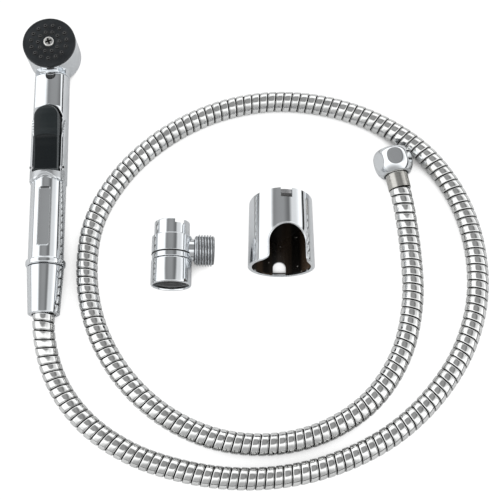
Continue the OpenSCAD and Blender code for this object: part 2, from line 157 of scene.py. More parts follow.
def prism(name, place, outline, z0, z1):
    # an upright prism over an outline of (x, y) pairs in millimetres
    bm = bmesh.new()
    low = [bm.verts.new(place @ Vector((x, y, z0))) for x, y in outline]
    high = [bm.verts.new(place @ Vector((x, y, z1))) for x, y in outline]
    bm.faces.new(low)
    bm.faces.new(high)
    for k in range(len(outline)):
        j = (k + 1) % len(outline)
        bm.faces.new((low[k], low[j], high[j], high[k]))
    return finishMesh(name, bm, None)


def ball(name, place, centre, radius):
    bm = bmesh.new()
    bmesh.ops.create_uvsphere(bm, u_segments=72, v_segments=48, radius=radius,
                              matrix=place @ Matrix.Translation(centre))
    return finishMesh(name, bm, None)


def cut(piece, cutter, smoothAngle=35):
    mod = piece.modifiers.new("cut", "BOOLEAN")
    mod.operation = "DIFFERENCE"
    mod.solver = "EXACT"
    mod.object = cutter
    bpy.context.view_layer.update()
    depsgraph = bpy.context.evaluated_depsgraph_get()
    mesh = bpy.data.meshes.new_from_object(piece.evaluated_get(depsgraph))
    piece.modifiers.clear()
    piece.data = mesh
    bpy.data.objects.remove(cutter)
    shadeSmooth(piece, smoothAngle)
    return piece


def bead(name, place, points, radius, material, closed=False, sides=10):
    # a round bead of wire along points given in millimetres
    pts = [Vector(p) for p in points]
    n = len(pts)
    bm = bmesh.new()
    rings = []
    for i, p in enumerate(pts):
        before = pts[i - 1] if (i or closed) else p
        after = pts[(i + 1) % n] if (i < n - 1 or closed) else p
        t = (after - before).normalized()
        side = t.cross(Vector((0, 0.001, 1))).normalized()
        up = side.cross(t)
        rings.append([bm.verts.new(place @ (p + radius * (math.cos(2 * math.pi * k / sides) * side
                      + math.sin(2 * math.pi * k / sides) * up))) for k in range(sides)])
    pairs = list(zip(rings, rings[1:])) + ([(rings[-1], rings[0])] if closed else [])
    for one, two in pairs:
        for k in range(sides):
            j = (k + 1) % sides
            bm.faces.new((one[k], one[j], two[j], two[k]))
    if not closed:
        bm.faces.new(rings[0])
        bm.faces.new(rings[-1])
    return finishMesh(name, bm, material, 60)


def paintShade(piece, place, shade):
    # painted shade: how dark each vertex is painted, from its point in the frame of the piece
    back = place.inverted()
    shades = [shade(back @ v.co) for v in piece.data.vertices]
    piece.data.attributes.new("gap", "FLOAT", "POINT").data.foreach_set("value", shades)


def joinPieces(name, pieces):
    bm = bmesh.new()
    for piece in pieces:
        bm.from_mesh(piece.data)
    material = pieces[0].data.materials[0]
    for piece in pieces:
        bpy.data.objects.remove(piece)
    return finishMesh(name, bm, material, 40)


def placeOn(origin, axis, right=(1, 0, 0)):
    # local Y runs along axis, local X lies towards right, all from an origin in metres
    y = Vector(axis).normalized()
    z = Vector(right).cross(y).normalized()
    x = y.cross(z)
    turn = Matrix((x, y, z)).transposed().to_4x4()
    return Matrix.Translation(Vector(origin)) @ turn @ Matrix.Scale(mm, 4)


def jointPlace(name, along, right=(1, 0, 0)):
    joint = joints[name]
    axis = Vector(joint["axis"])
    return placeOn(Vector(joint["pos_m"]) - axis * along * mm, axis, right)


layout = {"coneNutAlong": 15, "headAlong": 186.6, "headLean": 2, "collarAlong": 8, "outletAlong": 24.5}
handset = jointPlace("cone_nut_spin", layout["coneNutAlong"])
headUp = handset @ Matrix.Translation((0, layout["headAlong"], 0)) \
    @ Matrix.Rotation(math.radians(layout["headLean"]), 4, "X")
head = headUp @ Matrix.Rotation(math.radians(90), 4, "X")
nut = jointPlace("hose_nut_spin", 0)
adapter = jointPlace("collar_spin", layout["collarAlong"], mounts["outlet_thread"]["axis"])
outlet = placeOn(adapter @ Vector((0, layout["outletAlong"], 0)), mounts["outlet_thread"]["axis"], (0, -1, 0))


class Value:
    # a socket that takes part in sums
    def __init__(self, tree, socket):
        self.tree, self.socket = tree, socket

    def sum(self, operation, *parts):
        node = self.tree.nodes.new("ShaderNodeMath")
        node.operation = operation
        for slot, part in zip(node.inputs, parts):
            if isinstance(part, Value):
                self.tree.links.new(part.socket, slot)
            else:
                slot.default_value = part
        return Value(self.tree, node.outputs[0])

    def __add__(self, other):
        return self.sum("ADD", self, other)

    def __radd__(self, other):
        return self.sum("ADD", other, self)

    def __sub__(self, other):
        return self.sum("SUBTRACT", self, other)

    def __rsub__(self, other):
        return self.sum("SUBTRACT", other, self)

    def __mul__(self, other):
        return self.sum("MULTIPLY", self, other)

    def __rmul__(self, other):
        return self.sum("MULTIPLY", other, self)

    def __truediv__(self, other):
        return self.sum("DIVIDE", self, other)

    def __rtruediv__(self, other):
        return self.sum("DIVIDE", other, self)

    def __pow__(self, other):
        return self.sum("POWER", self, other)


class Finish:
    # a material being put together
    def __init__(self, name, **fixed):
        self.material = bpy.data.materials.new(name)
        self.material.use_nodes = True
        self.tree = self.material.node_tree
        self.shader = self.tree.nodes["Principled BSDF"]
        for socket, value in fixed.items():
            self.shader.inputs[socket.replace("_", " ")].default_value = value

    def node(self, kind, settings=None, output=0, **sockets):
        node = self.tree.nodes.new("ShaderNode" + kind)
        for key, value in (settings or {}).items():
            if key == "stops":
                ramp = node.color_ramp
                while len(ramp.elements) < len(value):
                    ramp.elements.new(0.5)
                for element, (position, colour) in zip(ramp.elements, value):
                    element.position = position
                    element.color = colour
            else:
                setattr(node, key, value)
        for key, value in sockets.items():
            slot = node.inputs[int(key[1:])] if key[0] == "i" and key[1:].isdigit() \
                else node.inputs[key.replace("_", " ")]
            if isinstance(value, Value):
                self.tree.links.new(value.socket, slot)
            else:
                slot.default_value = value
        return Value(self.tree, node.outputs[output])

    def place(self):
        return self.node("TexCoord", output=3)

    def noise(self, scale, detail=3, where=None, rough=0.5):
        return self.node("TexNoise", Vector=where or self.place(), Scale=scale, Detail=detail,
                         Roughness=rough)

    def stretched(self, scale):
        return self.node("Mapping", Vector=self.place(), Scale=scale)

    def ramp(self, value, lo, hi, a=0.0, b=1.0):
        smooth = {"interpolation_type": "SMOOTHSTEP"}
        return self.node("MapRange", smooth, Value=value, i1=lo, i2=hi, i3=a, i4=b)

    def mix(self, factor, a, b):
        return self.node("Mix", {"data_type": "RGBA"}, output=2, i0=factor, i6=a, i7=b)

    def attribute(self, name):
        return self.node("Attribute", {"attribute_name": name}, output=2)

    def feed(self, **sockets):
        for key, value in sockets.items():
            self.tree.links.new(value.socket, self.shader.inputs[key.replace("_", " ")])
        return self

    def bump(self, height, strength, distance=0.0002):
        self.feed(Normal=self.node("Bump", Height=height, Strength=strength, Distance=distance))
        return self


# dark is the colour that painted shade turns the plate to
chromeLook = {"colour": (0.85, 0.87, 0.89, 1), "haze": (0.79, 0.81, 0.83, 1),
              "dark": (0.012, 0.012, 0.013, 1), "rough": 0.04, "roughMore": 0.04}


def makeChrome(name, shaded=None):
    # shaded names a vertex value of painted shade; where it is set the plate is painted dark and dull, like black
    # plastic
    look = chromeLook
    f = Finish(name, Metallic=1.0, IOR=2.5)
    cloud = f.noise(38, 4)
    fine = f.noise(900, 2)
    wipe = f.noise(260, 3, f.stretched((1, 0.12, 1)))
    rough = look["rough"] + f.ramp(cloud, 0.45, 0.75) * look["roughMore"] + fine * 0.012
    rough = rough + f.ramp(wipe, 0.55, 0.8) * 0.02
    colour = f.mix(f.ramp(cloud, 0.35, 0.8), look["colour"], look["haze"])
    if shaded:
        paintedShade = f.attribute(shaded)
        colour = f.mix(paintedShade, colour, look["dark"])
        rough = rough + paintedShade * 0.6
        f.feed(Metallic=1 - paintedShade * 0.6)
    f.feed(Roughness=rough, Base_Color=colour)
    f.bump(f.noise(110, 2) + fine * 0.08, 0.05, 0.0004)
    return f.material


# the darkest colour is painted shade for the grooves between the bands
hoseLook = {"steel": (0.93, 0.93, 0.92, 1), "shade": (0.80, 0.80, 0.79, 1), "gap": (0.008, 0.008, 0.008, 1),
            "rough": 0.09}


def makeWinding(name):
    look = hoseLook
    f = Finish(name, Metallic=1.0)
    # painted shade in the grooves darkens the steel and roughens it
    depth = f.attribute("gap")
    cloud = f.noise(70, 4)
    draw = f.noise(1500, 2)
    steel = f.mix(f.ramp(cloud, 0.35, 0.7), look["steel"], look["shade"])
    f.feed(Base_Color=f.mix(depth, steel, look["gap"]),
           Roughness=look["rough"] + f.ramp(cloud, 0.4, 0.8) * 0.08 + draw * 0.05 + depth * 0.4)
    f.bump(draw * 0.3 + cloud, 0.08, 0.0003)
    return f.material


satinLook = {"colour": (0.62, 0.605, 0.575, 1), "worn": (0.54, 0.525, 0.49, 1)}


def makeSatin(name):
    look = satinLook
    f = Finish(name, Metallic=1.0)
    lines = f.noise(2200, 3, f.stretched((0.06, 1, 0.06)))
    cloud = f.noise(90, 3)
    f.feed(Base_Color=f.mix(f.ramp(lines, 0.35, 0.7), look["colour"], look["worn"]),
           Roughness=0.19 + lines * 0.08 + cloud * 0.05)
    f.bump(lines, 0.05, 0.0001)
    return f.material


blackLook = {"colour": (0.012, 0.0135, 0.0155, 1), "pale": (0.022, 0.025, 0.028, 1), "rough": 0.42}


def makeBlack(name, rough=None, pale=None, grain=0.25, sheen=0.25):
    look = blackLook
    f = Finish(name, Specular_IOR_Level=sheen)
    grainy = f.noise(3200, 2)
    cloud = f.noise(60, 4)
    base = look["rough"] if rough is None else rough
    f.feed(Base_Color=f.mix(f.ramp(cloud, 0.3, 0.75), look["colour"], pale or look["pale"]),
           Roughness=base + f.ramp(cloud, 0.4, 0.7) * 0.06 + grainy * 0.06)
    f.bump(grainy, grain, 0.00008)
    return f.material


def makeLeverBlack(name):
    # the dished thumb zone is smoother and darker than the rest, and a painted highlight lines the edges
    f = Finish(name, Specular_IOR_Level=0.3)
    dish = f.attribute("dish")
    rim = f.attribute("rim")
    grainy = f.noise(3200, 2)
    cloud = f.noise(60, 4)
    plain = f.mix(f.ramp(cloud, 0.3, 0.75), (0.013, 0.018, 0.020, 1), (0.022, 0.029, 0.032, 1))
    body = f.mix(dish, plain, (0.007, 0.010, 0.0115, 1))
    # painted highlight along the edges, from the vertex value
    f.feed(Base_Color=f.mix(rim, body, (0.13, 0.14, 0.145, 1)),
           Roughness=0.36 - dish * 0.14 + grainy * 0.06 + cloud * 0.06)
    f.bump(grainy, 0.2, 0.00008)
    return f.material


def makeNozzle(name):
    # wet-looking rubber: dark, with bright glints on its shoulders
    f = Finish(name, Specular_IOR_Level=1.0, IOR=1.62)
    cloud = f.noise(300, 2)
    f.feed(Base_Color=f.mix(cloud, (0.004, 0.004, 0.005, 1), (0.010, 0.010, 0.011, 1)),
           Roughness=0.03 + cloud * 0.04)
    f.bump(f.noise(2500, 2), 0.03, 0.00005)
    return f.material


def makeRubber(name, colour=(0.018, 0.018, 0.019, 1), rough=0.5):
    f = Finish(name, Specular_IOR_Level=0.45)
    cloud = f.noise(140, 4)
    dust = f.ramp(f.noise(1100, 2), 0.66, 0.74)
    f.feed(Base_Color=f.mix(dust * 0.35, colour, (0.10, 0.095, 0.085, 1)),
           Roughness=rough + cloud * 0.15 + dust * 0.1)
    f.bump(f.noise(2600, 3), 0.25, 0.0001)
    return f.material


def makeLiner(name):
    # dark glossy inside, with a few pale specks and a painted sheen: long streaks painted brown where a soft
    # highlight falls
    f = Finish(name, Specular_IOR_Level=0.55)
    cloud = f.noise(45, 4)
    specks = f.ramp(f.noise(420, 1), 0.735, 0.765)
    # painted sheen: stretched streaks mark where the lining is painted brown
    sheen = f.noise(90, 2, f.stretched((1, 0.05, 0.2)))
    tone = f.mix(f.ramp(sheen, 0.42, 0.8), (0.006, 0.005, 0.004, 1), (0.19, 0.125, 0.08, 1))
    f.feed(Base_Color=f.mix(specks, tone, (0.42, 0.40, 0.37, 1)),
           Roughness=0.20 + cloud * 0.16 + specks * 0.2)
    f.bump(f.noise(300, 3), 0.25, 0.0004)
    return f.material


def makePale(name, colour=(0.72, 0.72, 0.70, 1)):
    f = Finish(name, Specular_IOR_Level=0.5)
    cloud = f.noise(120, 3)
    f.feed(Base_Color=f.mix(cloud * 0.4, colour, (0.55, 0.55, 0.53, 1)), Roughness=0.3 + cloud * 0.15)
    f.bump(f.noise(1800, 2), 0.1, 0.0001)
    return f.material


def makeMetal(name, colour, dark, rough):
    f = Finish(name, Metallic=1.0)
    marks = f.noise(1400, 3, f.stretched((1, 0.1, 1)))
    f.feed(Base_Color=f.mix(f.ramp(marks, 0.3, 0.75), colour, dark), Roughness=rough + marks * 0.15)
    f.bump(marks, 0.1, 0.0001)
    return f.material


def makeScrew(name):
    # bright head whose cross recess gets painted shade, darker with depth
    f = Finish(name, Metallic=1.0)
    depth = f.attribute("gap")
    marks = f.noise(1500, 2)
    f.feed(Base_Color=f.mix(depth, (0.78, 0.77, 0.75, 1), (0.012, 0.012, 0.012, 1)),
           Roughness=0.2 + marks * 0.12 + depth * 0.4)
    f.bump(marks, 0.08, 0.0001)
    return f.material


chrome = makeChrome("chromePlate")
# chrome that takes painted shade from a vertex value
shadedChrome = makeChrome("shadedChrome", "gap")
winding = makeWinding("steelWinding")
satin = makeSatin("satinNickel")
faceBlack = makeBlack("facePlastic", 0.36, (0.030, 0.035, 0.039, 1), 0.25, 0.32)
leverBlack = makeLeverBlack("leverPlastic")
nozzleBlack = makeNozzle("nozzleRubber")
rubber = makeRubber("blackRubber")
liner = makeLiner("cupLining")
pale = makePale("palePlastic")
steel = makeMetal("turnedSteel", (0.66, 0.66, 0.67, 1), (0.5, 0.5, 0.51, 1), 0.22)
brass = makeMetal("turnedBrass", (0.72, 0.55, 0.28, 1), (0.55, 0.40, 0.2, 1), 0.25)
screwSteel = makeScrew("screwSteel")
print("materials mixed")


# each strip entry is (place along one pitch, radius, painted shade); the painted shade darkens the grooves between
# the bands
hose = {"radius": 7.0, "pitch": 5.5, "sides": 32, "exit": (-0.07569, -0.0954, 0.013),
        "strip": [(0.00, 6.05, 1.0), (0.03, 6.10, 1.0), (0.055, 6.75, 0.3), (0.09, 6.94, 0.0),
                  (0.17, 7.0, 0.0), (0.35, 6.99, 0.0), (0.55, 6.95, 0.0), (0.71, 6.90, 0.0),
                  (0.79, 6.80, 0.05), (0.815, 6.50, 0.8), (0.84, 6.52, 0.4), (0.87, 6.64, 0.05),
                  (0.90, 6.60, 0.15), (0.92, 6.05, 1.0)]}
# the route's points in millimetres, from the cone nut round both loops to the swivel nut
route = [(-75.69, -95.4, 13), (-75.5, -103, 13), (-75.1, -112, 12.3), (-73.6, -123, 9.8),
         (-70, -136, 7.5), (-62, -152, 7), (-47, -170, 7), (-19, -189, 7), (13, -200, 7), (47, -205, 7),
         (82, -203, 7), (115, -194, 7), (146, -178, 7), (173, -154, 7), (193, -125, 7), (204, -92, 7),
         (205, -58, 7), (195.5, -21.4, 7), (175, 10.1, 7), (143.8, 33.1, 7), (108, 46, 7), (70, 49, 7),
         (33, 41, 7), (-2, 22, 7), (-30, -6, 7), (-47, -39, 7), (-50, -75, 7), (-42, -111, 7),
         (-23, -143, 7), (4, -167, 7), (36, -181, 7), (71, -184, 7), (104, -176, 7), (133, -157, 7),
         (153, -128, 7), (162, -94, 7), (162.5, -60, 7), (160.9, -42, 8.3), (158.6, -27.8, 11.4),
         (156.62, -17.14, 12)]


def smoothRoute(points):
    # one smooth curve through the points, as a function of the length along it
    pts = [Vector(p) * mm for p in points]
    last = len(pts) - 1

    def slope(i):
        if i == 0:
            return (pts[1] - pts[0]).normalized()
        if i == last:
            return (pts[last] - pts[last - 1]).normalized()
        before, after = pts[i] - pts[i - 1], pts[i + 1] - pts[i]
        a, b = before.length, after.length
        return (after / b * a + before / a * b) / (a + b)

    dense = []
    for i in range(last):
        d = (pts[i + 1] - pts[i]).length
        for s in range(40):
            t = s / 40
            p = (2 * t ** 3 - 3 * t ** 2 + 1) * pts[i] + (t ** 3 - 2 * t ** 2 + t) * d * slope(i) \
                + (3 * t ** 2 - 2 * t ** 3) * pts[i + 1] + (t ** 3 - t ** 2) * d * slope(i + 1)
            p.z = max(p.z, hose["radius"] * mm)
            dense.append(p)
    dense.append(pts[last])
    along = [0]
    for a, b in zip(dense, dense[1:]):
        along.append(along[-1] + (b - a).length)
    total = along[-1]

    def at(s):
        s = min(max(s, 0), total)
        lo, hi = 0, len(along) - 1
        while hi - lo > 1:
            mid = (lo + hi) // 2
            if along[mid] <= s:
                lo = mid
            else:
                hi = mid
        t = (s - along[lo]) / max(along[hi] - along[lo], 1e-9)
        return dense[lo].lerp(dense[hi], t)

    return at, total


def windHose():
    at, total = smoothRoute(route)
    turns = math.ceil(total / (hose["pitch"] * mm)) + 1
    strip, sides = hose["strip"], hose["sides"]
    pitch = hose["pitch"] * mm
    bm = bmesh.new()
    # each ring carries its painted shade from the strip
    shadingLayer = bm.verts.layers.float.new("gap")
    # bearings every half millimetre are close enough for a bend this wide
    cells = round(total / 0.0005)
    bearings = []
    for i in range(cells + 1):
        s = total * i / cells
        t = (at(s + 0.0004) - at(s - 0.0004)).normalized()
        side = t.cross(Vector((0, 0, 1))).normalized()
        bearings.append((at(s), side, side.cross(t)))
    rings = []
    for turn in range(-1, turns):
        for u, r, gap in strip:
            ring = []
            for k in range(sides):
                s = min(max((turn + u + k / sides) * pitch, 0), total)
                c = s / total * cells
                i = min(int(c), cells - 1)
                f = c - i
                p = bearings[i][0].lerp(bearings[i + 1][0], f)
                side = bearings[i][1].lerp(bearings[i + 1][1], f)
                up = bearings[i][2].lerp(bearings[i + 1][2], f)
                a = 2 * math.pi * k / sides
                v = bm.verts.new(p + r * mm * (math.cos(a) * side + math.sin(a) * up))
                v[shadingLayer] = gap
                ring.append(v)
            rings.append(ring)
    per = len(strip)
    for i in range(len(rings) - 1):
        for k in range(sides - 1):
            bm.faces.new((rings[i][k], rings[i][k + 1], rings[i + 1][k + 1], rings[i + 1][k]))
        # the last column meets the first one a whole turn further on
        j = i + per
        if j + 1 < len(rings):
            bm.faces.new((rings[i][sides - 1], rings[j][0], rings[j + 1][0], rings[i + 1][sides - 1]))
    bmesh.ops.remove_doubles(bm, verts=bm.verts, dist=2e-6)
    piece = finishMesh("hoseWinding", bm, winding, 50)
    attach(piece, "handset")
    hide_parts("hose", "hose_liner")
    path = [tuple(at(total * i / 600)) for i in range(601)]
    print("hose wound:", round(total, 4), "m,", turns, "turns")


swivelNut = {"ball": 13.0, "flats": 12.0, "half": 8.7, "tailBore": 8.3, "threadBore": 9.35}


def makeNut():
    d = swivelNut
    half = d["half"]

    def dome(y):
        if y < 0:
            return math.sqrt(d["ball"] ** 2 - y * y)
        return d["ball"] * (1 - (y / 11) ** 3) ** (1 / 3)

    def shape(r, y, a):
        if r >= 0:
            return r, y
        sector = (a + math.pi / 6) % (math.pi / 3) - math.pi / 6
        return softMin(dome(y), d["flats"] / math.cos(sector), 0.28), y

    outside = [(-1, y) for y in steps(-half, half, 0.18)]
    end = dome(half)
    tail = dome(-half)
    profile = [(d["tailBore"], -3.7), (d["tailBore"], -half)]
    profile += [(tail - 0.7, -half), (tail - 0.25, -half + 0.05)]
    profile += outside[2:-2] + [(end - 0.25, half), (end - 0.6, half + 0.02), (d["threadBore"] + 0.5, half)]
    crests = steps(half - 0.5, 0.8, 0.9)
    profile += [(d["threadBore"] + (0.35 if i % 2 else 0), y) for i, y in enumerate(crests)]
    profile += [(9.95, 0.7), (9.95, -3.7)]
    piece = turned("swivelNut", nut, profile, chrome, 192, closed=True, shape=shape, smoothAngle=40)
    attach(piece, "hose_nut")
    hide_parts("hose_nut")


makeNut()
windHose()


casing = {"grip": 11.5, "housing": 12.2, "neck": 11.8, "bore": 9.6, "start": 35.8, "end": 166.6,
          "step": 88.9, "archRise": 1.5, "bridgeSlope": 0.62, "cheekTop": 13.3, "cheekWide": 11.5,
          "slotHalf": 9.3, "slotEnd": 143.0, "slotStart": 94.7,
          "panelHalf": 3.8, "panelLow": 43.6, "panelHigh": 83.4, "panelCorner": 1.6,
          "panelTop": 10.5, "panelRound": 60.0, "facetTop": 9.8, "facetRound": 19.0, "facetLean": 0.1,
          "facetDrop": 0.15, "dropFrom": 165.4, "endBore": 7.2,
          "dimple": 3.75, "dimpleAt": (0.4, 165.3, 11.05), "bridgeShade": 0.34}


def flatRadius(a, top, bend, lean=0):
    # distance from the axis to a broad, slightly crowned surface across the front
    c, s2 = math.cos(a) - lean * math.sin(a), math.sin(a) ** 2
    if c <= 0.1:
        return 99
    q = s2 / (2 * bend)
    if q < 1e-5:
        return top / c
    return (-c + math.sqrt(c * c + 4 * q * top)) / (2 * q)


def facetRadius(y, a):
    d = casing
    drop = d["facetDrop"] * max(0, (y - d["dropFrom"]) / (d["end"] - d["dropFrom"])) ** 1.6
    return flatRadius(a, d["facetTop"] - drop, d["facetRound"], d["facetLean"])


def casingRadius(y, a):
    d = casing
    front = math.cos(a)
    housing = blend(d["housing"], d["neck"], (y - 90) / 76)
    stepAt = d["step"] + d["archRise"] * max(front, 0) ** 3
    r = blend(d["grip"] + 0.002 * (y - 36), housing, soft(stepAt - 0.2, stepAt + 0.3, y))
    if front > 0.15 and stepAt - 0.5 < y < 133:
        rise = 11.5 + (y - stepAt) * d["bridgeSlope"]
        top = min(rise, d["cheekTop"] - (y - 98) * 0.178)
        cheek = softMin(softMin(13.35, top / front, 0.3), d["cheekWide"] / max(abs(math.sin(a)), 0.05), 0.6)
        r = softMax(r, cheek, 0.25)
    # shallow panel let into the grip
    x = a if a < math.pi else a - 2 * math.pi
    dx = abs(x * d["grip"]) - d["panelHalf"] + d["panelCorner"]
    middle, halfLong = (d["panelLow"] + d["panelHigh"]) / 2, (d["panelHigh"] - d["panelLow"]) / 2
    dy = abs(y - middle) - halfLong + d["panelCorner"]
    edge = math.hypot(max(dx, 0), max(dy, 0)) + min(max(dx, dy), 0) - d["panelCorner"]
    if edge < 0.2:
        r = blend(r, min(r, flatRadius(a, d["panelTop"], d["panelRound"])), soft(0.2, -0.2, edge))
    return blend(r, min(r, facetRadius(y, a)), soft(140.5, 142.5, y))


def slotOutline(half, end, start):
    points = [(-half, start), (half, start)]
    for i in range(33):
        a = math.pi * i / 32
        points.append((half * math.cos(a), end - half + half * math.sin(a)))
    return points


def surfaceZ(x, y, lift=0.0):
    # height of the casing's front at x, found by walking along the angle
    a = math.asin(min(max(x / 12.0, -1), 1))
    for _ in range(6):
        r = casingRadius(y, a % (2 * math.pi)) + lift
        a = math.asin(min(max(x / r, -1), 1))
    return r * math.cos(a)


def casingShade(p):
    # painted shade on the plate: black inside, at the recess's upper end and in the far side of the dimple,
    # grey beside the recess, darker on its +x side, and on the bridge below the lever
    d = casing
    if math.hypot(p.x, p.z) < d["bore"] + 0.04 and p.y < d["end"] - 0.2:
        return 1.0
    shade = 0.0
    if p.z > 5 and p.y < 96:
        arch = d["archRise"] * max(p.z / 12, 0) ** 3
        shade = d["bridgeShade"] * soft(d["step"], d["step"] + 0.7, p.y - arch)
    if p.z > 9:
        if abs(p.x) < d["panelHalf"] - 0.6 and abs(p.y - d["panelHigh"]) < 0.45:
            return 1.0
        if abs(abs(p.x) - d["panelHalf"]) < 0.45 and d["panelLow"] < p.y < d["panelHigh"]:
            shade = max(shade, 0.8 if p.x > 0 else 0.4)
    if (p - Vector(d["dimpleAt"])).length < d["dimple"] + 0.06 and p.y < d["end"] - 0.1:
        shade = max(shade, soft(0.3, -0.9, p.y - d["dimpleAt"][1]))
    return shade


def makeCasing():
    d = casing

    def shape(r, y, a):
        if r > 0:
            return r, y
        return casingRadius(y, a) + r, y

    ys = steps(d["start"] + 0.3, d["end"] - 0.3, 0.42)
    profile = [(d["bore"], d["start"]), (d["grip"] - 0.4, d["start"]), (-0.1, d["start"] + 0.12)]
    profile += [(-1e-9, y) for y in ys] + [(-0.12, d["end"] - 0.08), (-0.4, d["end"])]
    profile += [(d["endBore"], d["end"]), (d["endBore"], 150), (d["bore"], 147)]
    profile += [(d["bore"], y) for y in steps(144, d["start"] + 6, 8)]
    piece = turned("handsetCasing", handset, profile, shadedChrome, 176, closed=True, shape=shape,
                   smoothAngle=30)
    cutter = prism("slotCutter", handset, slotOutline(d["slotHalf"], d["slotEnd"], d["slotStart"]), 0, 22)
    cut(piece, cutter, 30)
    cut(piece, ball("dimpleCutter", handset, d["dimpleAt"], d["dimple"]), 30)
    # rolled lip round the slot
    lip = []
    half, mid = d["slotHalf"] + 0.12, d["slotEnd"] - d["slotHalf"]
    for y in steps(99, mid, 1.2):
        lip.append((half, y, surfaceZ(half, y) - 0.12))
    for i in range(1, 24):
        a = math.pi * i / 24
        x, y = half * math.cos(a), mid + half * math.sin(a)
        lip.append((x, y, surfaceZ(x, y) - 0.12))
    for y in steps(mid, 99, 1.2):
        lip.append((-half, y, surfaceZ(-half, y) - 0.12))
    rim = bead("slotLip", handset, lip, 0.42, shadedChrome)
    piece = joinPieces("handsetCasing", [piece, rim])
    shadeSmooth(piece, 30)
    paintShade(piece, handset, casingShade)
    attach(piece, "handset")
    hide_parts("handle_body")


lever = {"half": 8.4, "low": 95.1, "high": 140.4, "dishEnd": 119.6, "dishDepth": 0.55, "margin": 0.9,
         "top": [(95.1, 11.5), (97, 12.0), (100, 12.0), (105, 12.2), (111, 12.8), (117, 13.9), (120.5, 14.9),
                 (124, 15.9), (128, 16.6), (133, 16.9), (137, 16.5), (139.4, 15.7), (140.4, 15.0)],
         "under": [(95.1, 6.6), (99, 5.8), (105, 6.4), (128, 9.4), (139, 11.0), (140.4, 12.0)]}


def along(points, y):
    for (a, za), (b, zb) in zip(points, points[1:]):
        if y <= b:
            return blend(za, zb, soft(a, b, y) * 0.35 + 0.65 * min(max((y - a) / (b - a), 0), 1))
    return points[-1][1]


def makeLever():
    d = lever
    half, mid = d["half"], d["high"] - d["half"]
    stations = steps(d["low"], mid, 0.45)
    stations += [mid + half * math.sin(math.radians(a)) for a in steps(2, 89.6, 2.2)]
    across = 56
    edgeR = 1.0
    bm = bmesh.new()
    dishLayer = bm.verts.layers.float.new("dish")
    paintedHighlightLayer = bm.verts.layers.float.new("rim")
    top, under = [], []
    for y in stations:
        wide = half if y < mid else math.sqrt(max(half ** 2 - (y - mid) ** 2, 0.0004))
        row, low = [], []
        for k in range(across + 1):
            u = math.sin(math.pi * (k / across - 0.5))
            x = u * wide
            inside = half - math.hypot(x, max(y - mid, 0)) if y > mid else half - abs(x)
            inside = min(inside, y - d["low"] + 0.02)
            # the edge rolls over in a quarter round
            outward = max(edgeR - inside, 0)
            drop = edgeR - math.sqrt(max(edgeR ** 2 - outward ** 2, 0))
            z = along(d["top"], y) - 0.9 * (x / half) ** 2 * soft(112, 126, y) - 0.35 * (x / half) ** 2 - drop
            arch = d["dishEnd"] - 1.6 * (x / half) ** 2
            dish = soft(0.25, 0.95, inside - d["margin"] + 0.4) * soft(arch + 0.35, arch - 0.35, y) \
                if y < arch + 0.35 else 0
            z -= d["dishDepth"] * dish * (1 - 0.25 * (x / half) ** 2)
            v = bm.verts.new(handset @ Vector((x, y, z)))
            v[dishLayer] = dish
            # painted highlight near the edge, stronger along the +x edge
            v[paintedHighlightLayer] = soft(0.1, 0.4, inside) * soft(1.0, 0.7, inside) * (0.25 + 0.75 * soft(0, 0.5, u))
            row.append(v)
            low.append(bm.verts.new(handset @ Vector((x, y, min(along(d["under"], y), z - 0.05)))))
        top.append(row)
        under.append(low)
    for rows, flip in ((top, False), (under, True)):
        for a, b in zip(rows, rows[1:]):
            for k in range(across):
                loop = (a[k], a[k + 1], b[k + 1], b[k])
                bm.faces.new(loop[::-1] if flip else loop)
    for a, b, c, e in zip(top, top[1:], under, under[1:]):
        bm.faces.new((a[0], b[0], e[0], c[0]))
        bm.faces.new((a[-1], c[-1], e[-1], b[-1]))
    for row, low in ((top[0], under[0]), (top[-1], under[-1])):
        for k in range(across):
            bm.faces.new((row[k], low[k], low[k + 1], row[k + 1]))
    piece = finishMesh("pressLever", bm, leverBlack, 40)
    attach(piece, "lever")
    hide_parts("lever")


drum = {"radius": 18.0, "back": -11.6, "corner": 4.0, "seat": 14.5, "faceTop": 17.0}
neckRib = {"start": 167.1, "end": 178.0, "wide": 6.6, "narrow": 4.8, "flat": 9.2,
           "eye": 1.5, "eyeAt": (0.2, 169.9, 9.7)}


def makeHead():
    d, rib = drum, neckRib
    r = d["radius"]
    profile = [(0, d["back"])] + arc(r - d["corner"], d["back"] + d["corner"], d["corner"], -90, 0, 14)
    profile += [(r, d["seat"] - 0.5), (r - 0.12, d["seat"] - 0.1), (r - 0.4, d["seat"]), (16.4, d["seat"]),
                (16.4, 9), (0, 9)]
    shell = turned("headShell", head, profile, chrome, 192, smoothAngle=40)

    def neckShape(radius, y, a):
        if radius > 0:
            return radius, y
        front = math.cos(a)
        full = blend(casing["housing"], casing["neck"], (y - 90) / 76)
        facet = min(full, facetRadius(min(y, casing["end"]), a))
        narrow = full
        if front > 0:
            wide = blend(rib["wide"], rib["narrow"], soft(167, 170.5, y))
            flat = min(full, rib["flat"] / max(front, 0.35))
            narrow = softMin(flat, wide / max(abs(math.sin(a)), 0.05) if front > 0.5 else full, 0.4)
        return blend(facet, narrow, soft(166.9, 167.7, y)) + radius, y

    low = rib["start"]
    profile = [(7.0, low - 0.3), (-0.4, low - 0.3), (-0.1, low - 0.2)]
    profile += [(-1e-9, y) for y in steps(low, rib["end"], 0.3)] + [(0, rib["end"] + 0.2)]
    neck = turned("headNeck", handset, profile, chrome, 160, shape=neckShape, smoothAngle=30)
    cut(neck, ball("eyeCutter", handset, rib["eyeAt"], rib["eye"]), 30)
    piece = joinPieces("headShell", [shell, neck])
    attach(piece, "handset")
    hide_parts("head_shell")


nozzles = {"rings": ((15, 12.1), (10, 7.2)),
           "profile": [(1.72, -0.1), (1.72, 0.03), (1.4, 0.05), (1.34, 0.12), (1.26, 0.35), (1.14, 0.8),
                       (0.98, 1.08), (0.8, 1.22), (0.62, 1.24), (0.5, 1.12), (0.44, 0.8), (0.42, -0.05),
                       (0, -0.05)]}


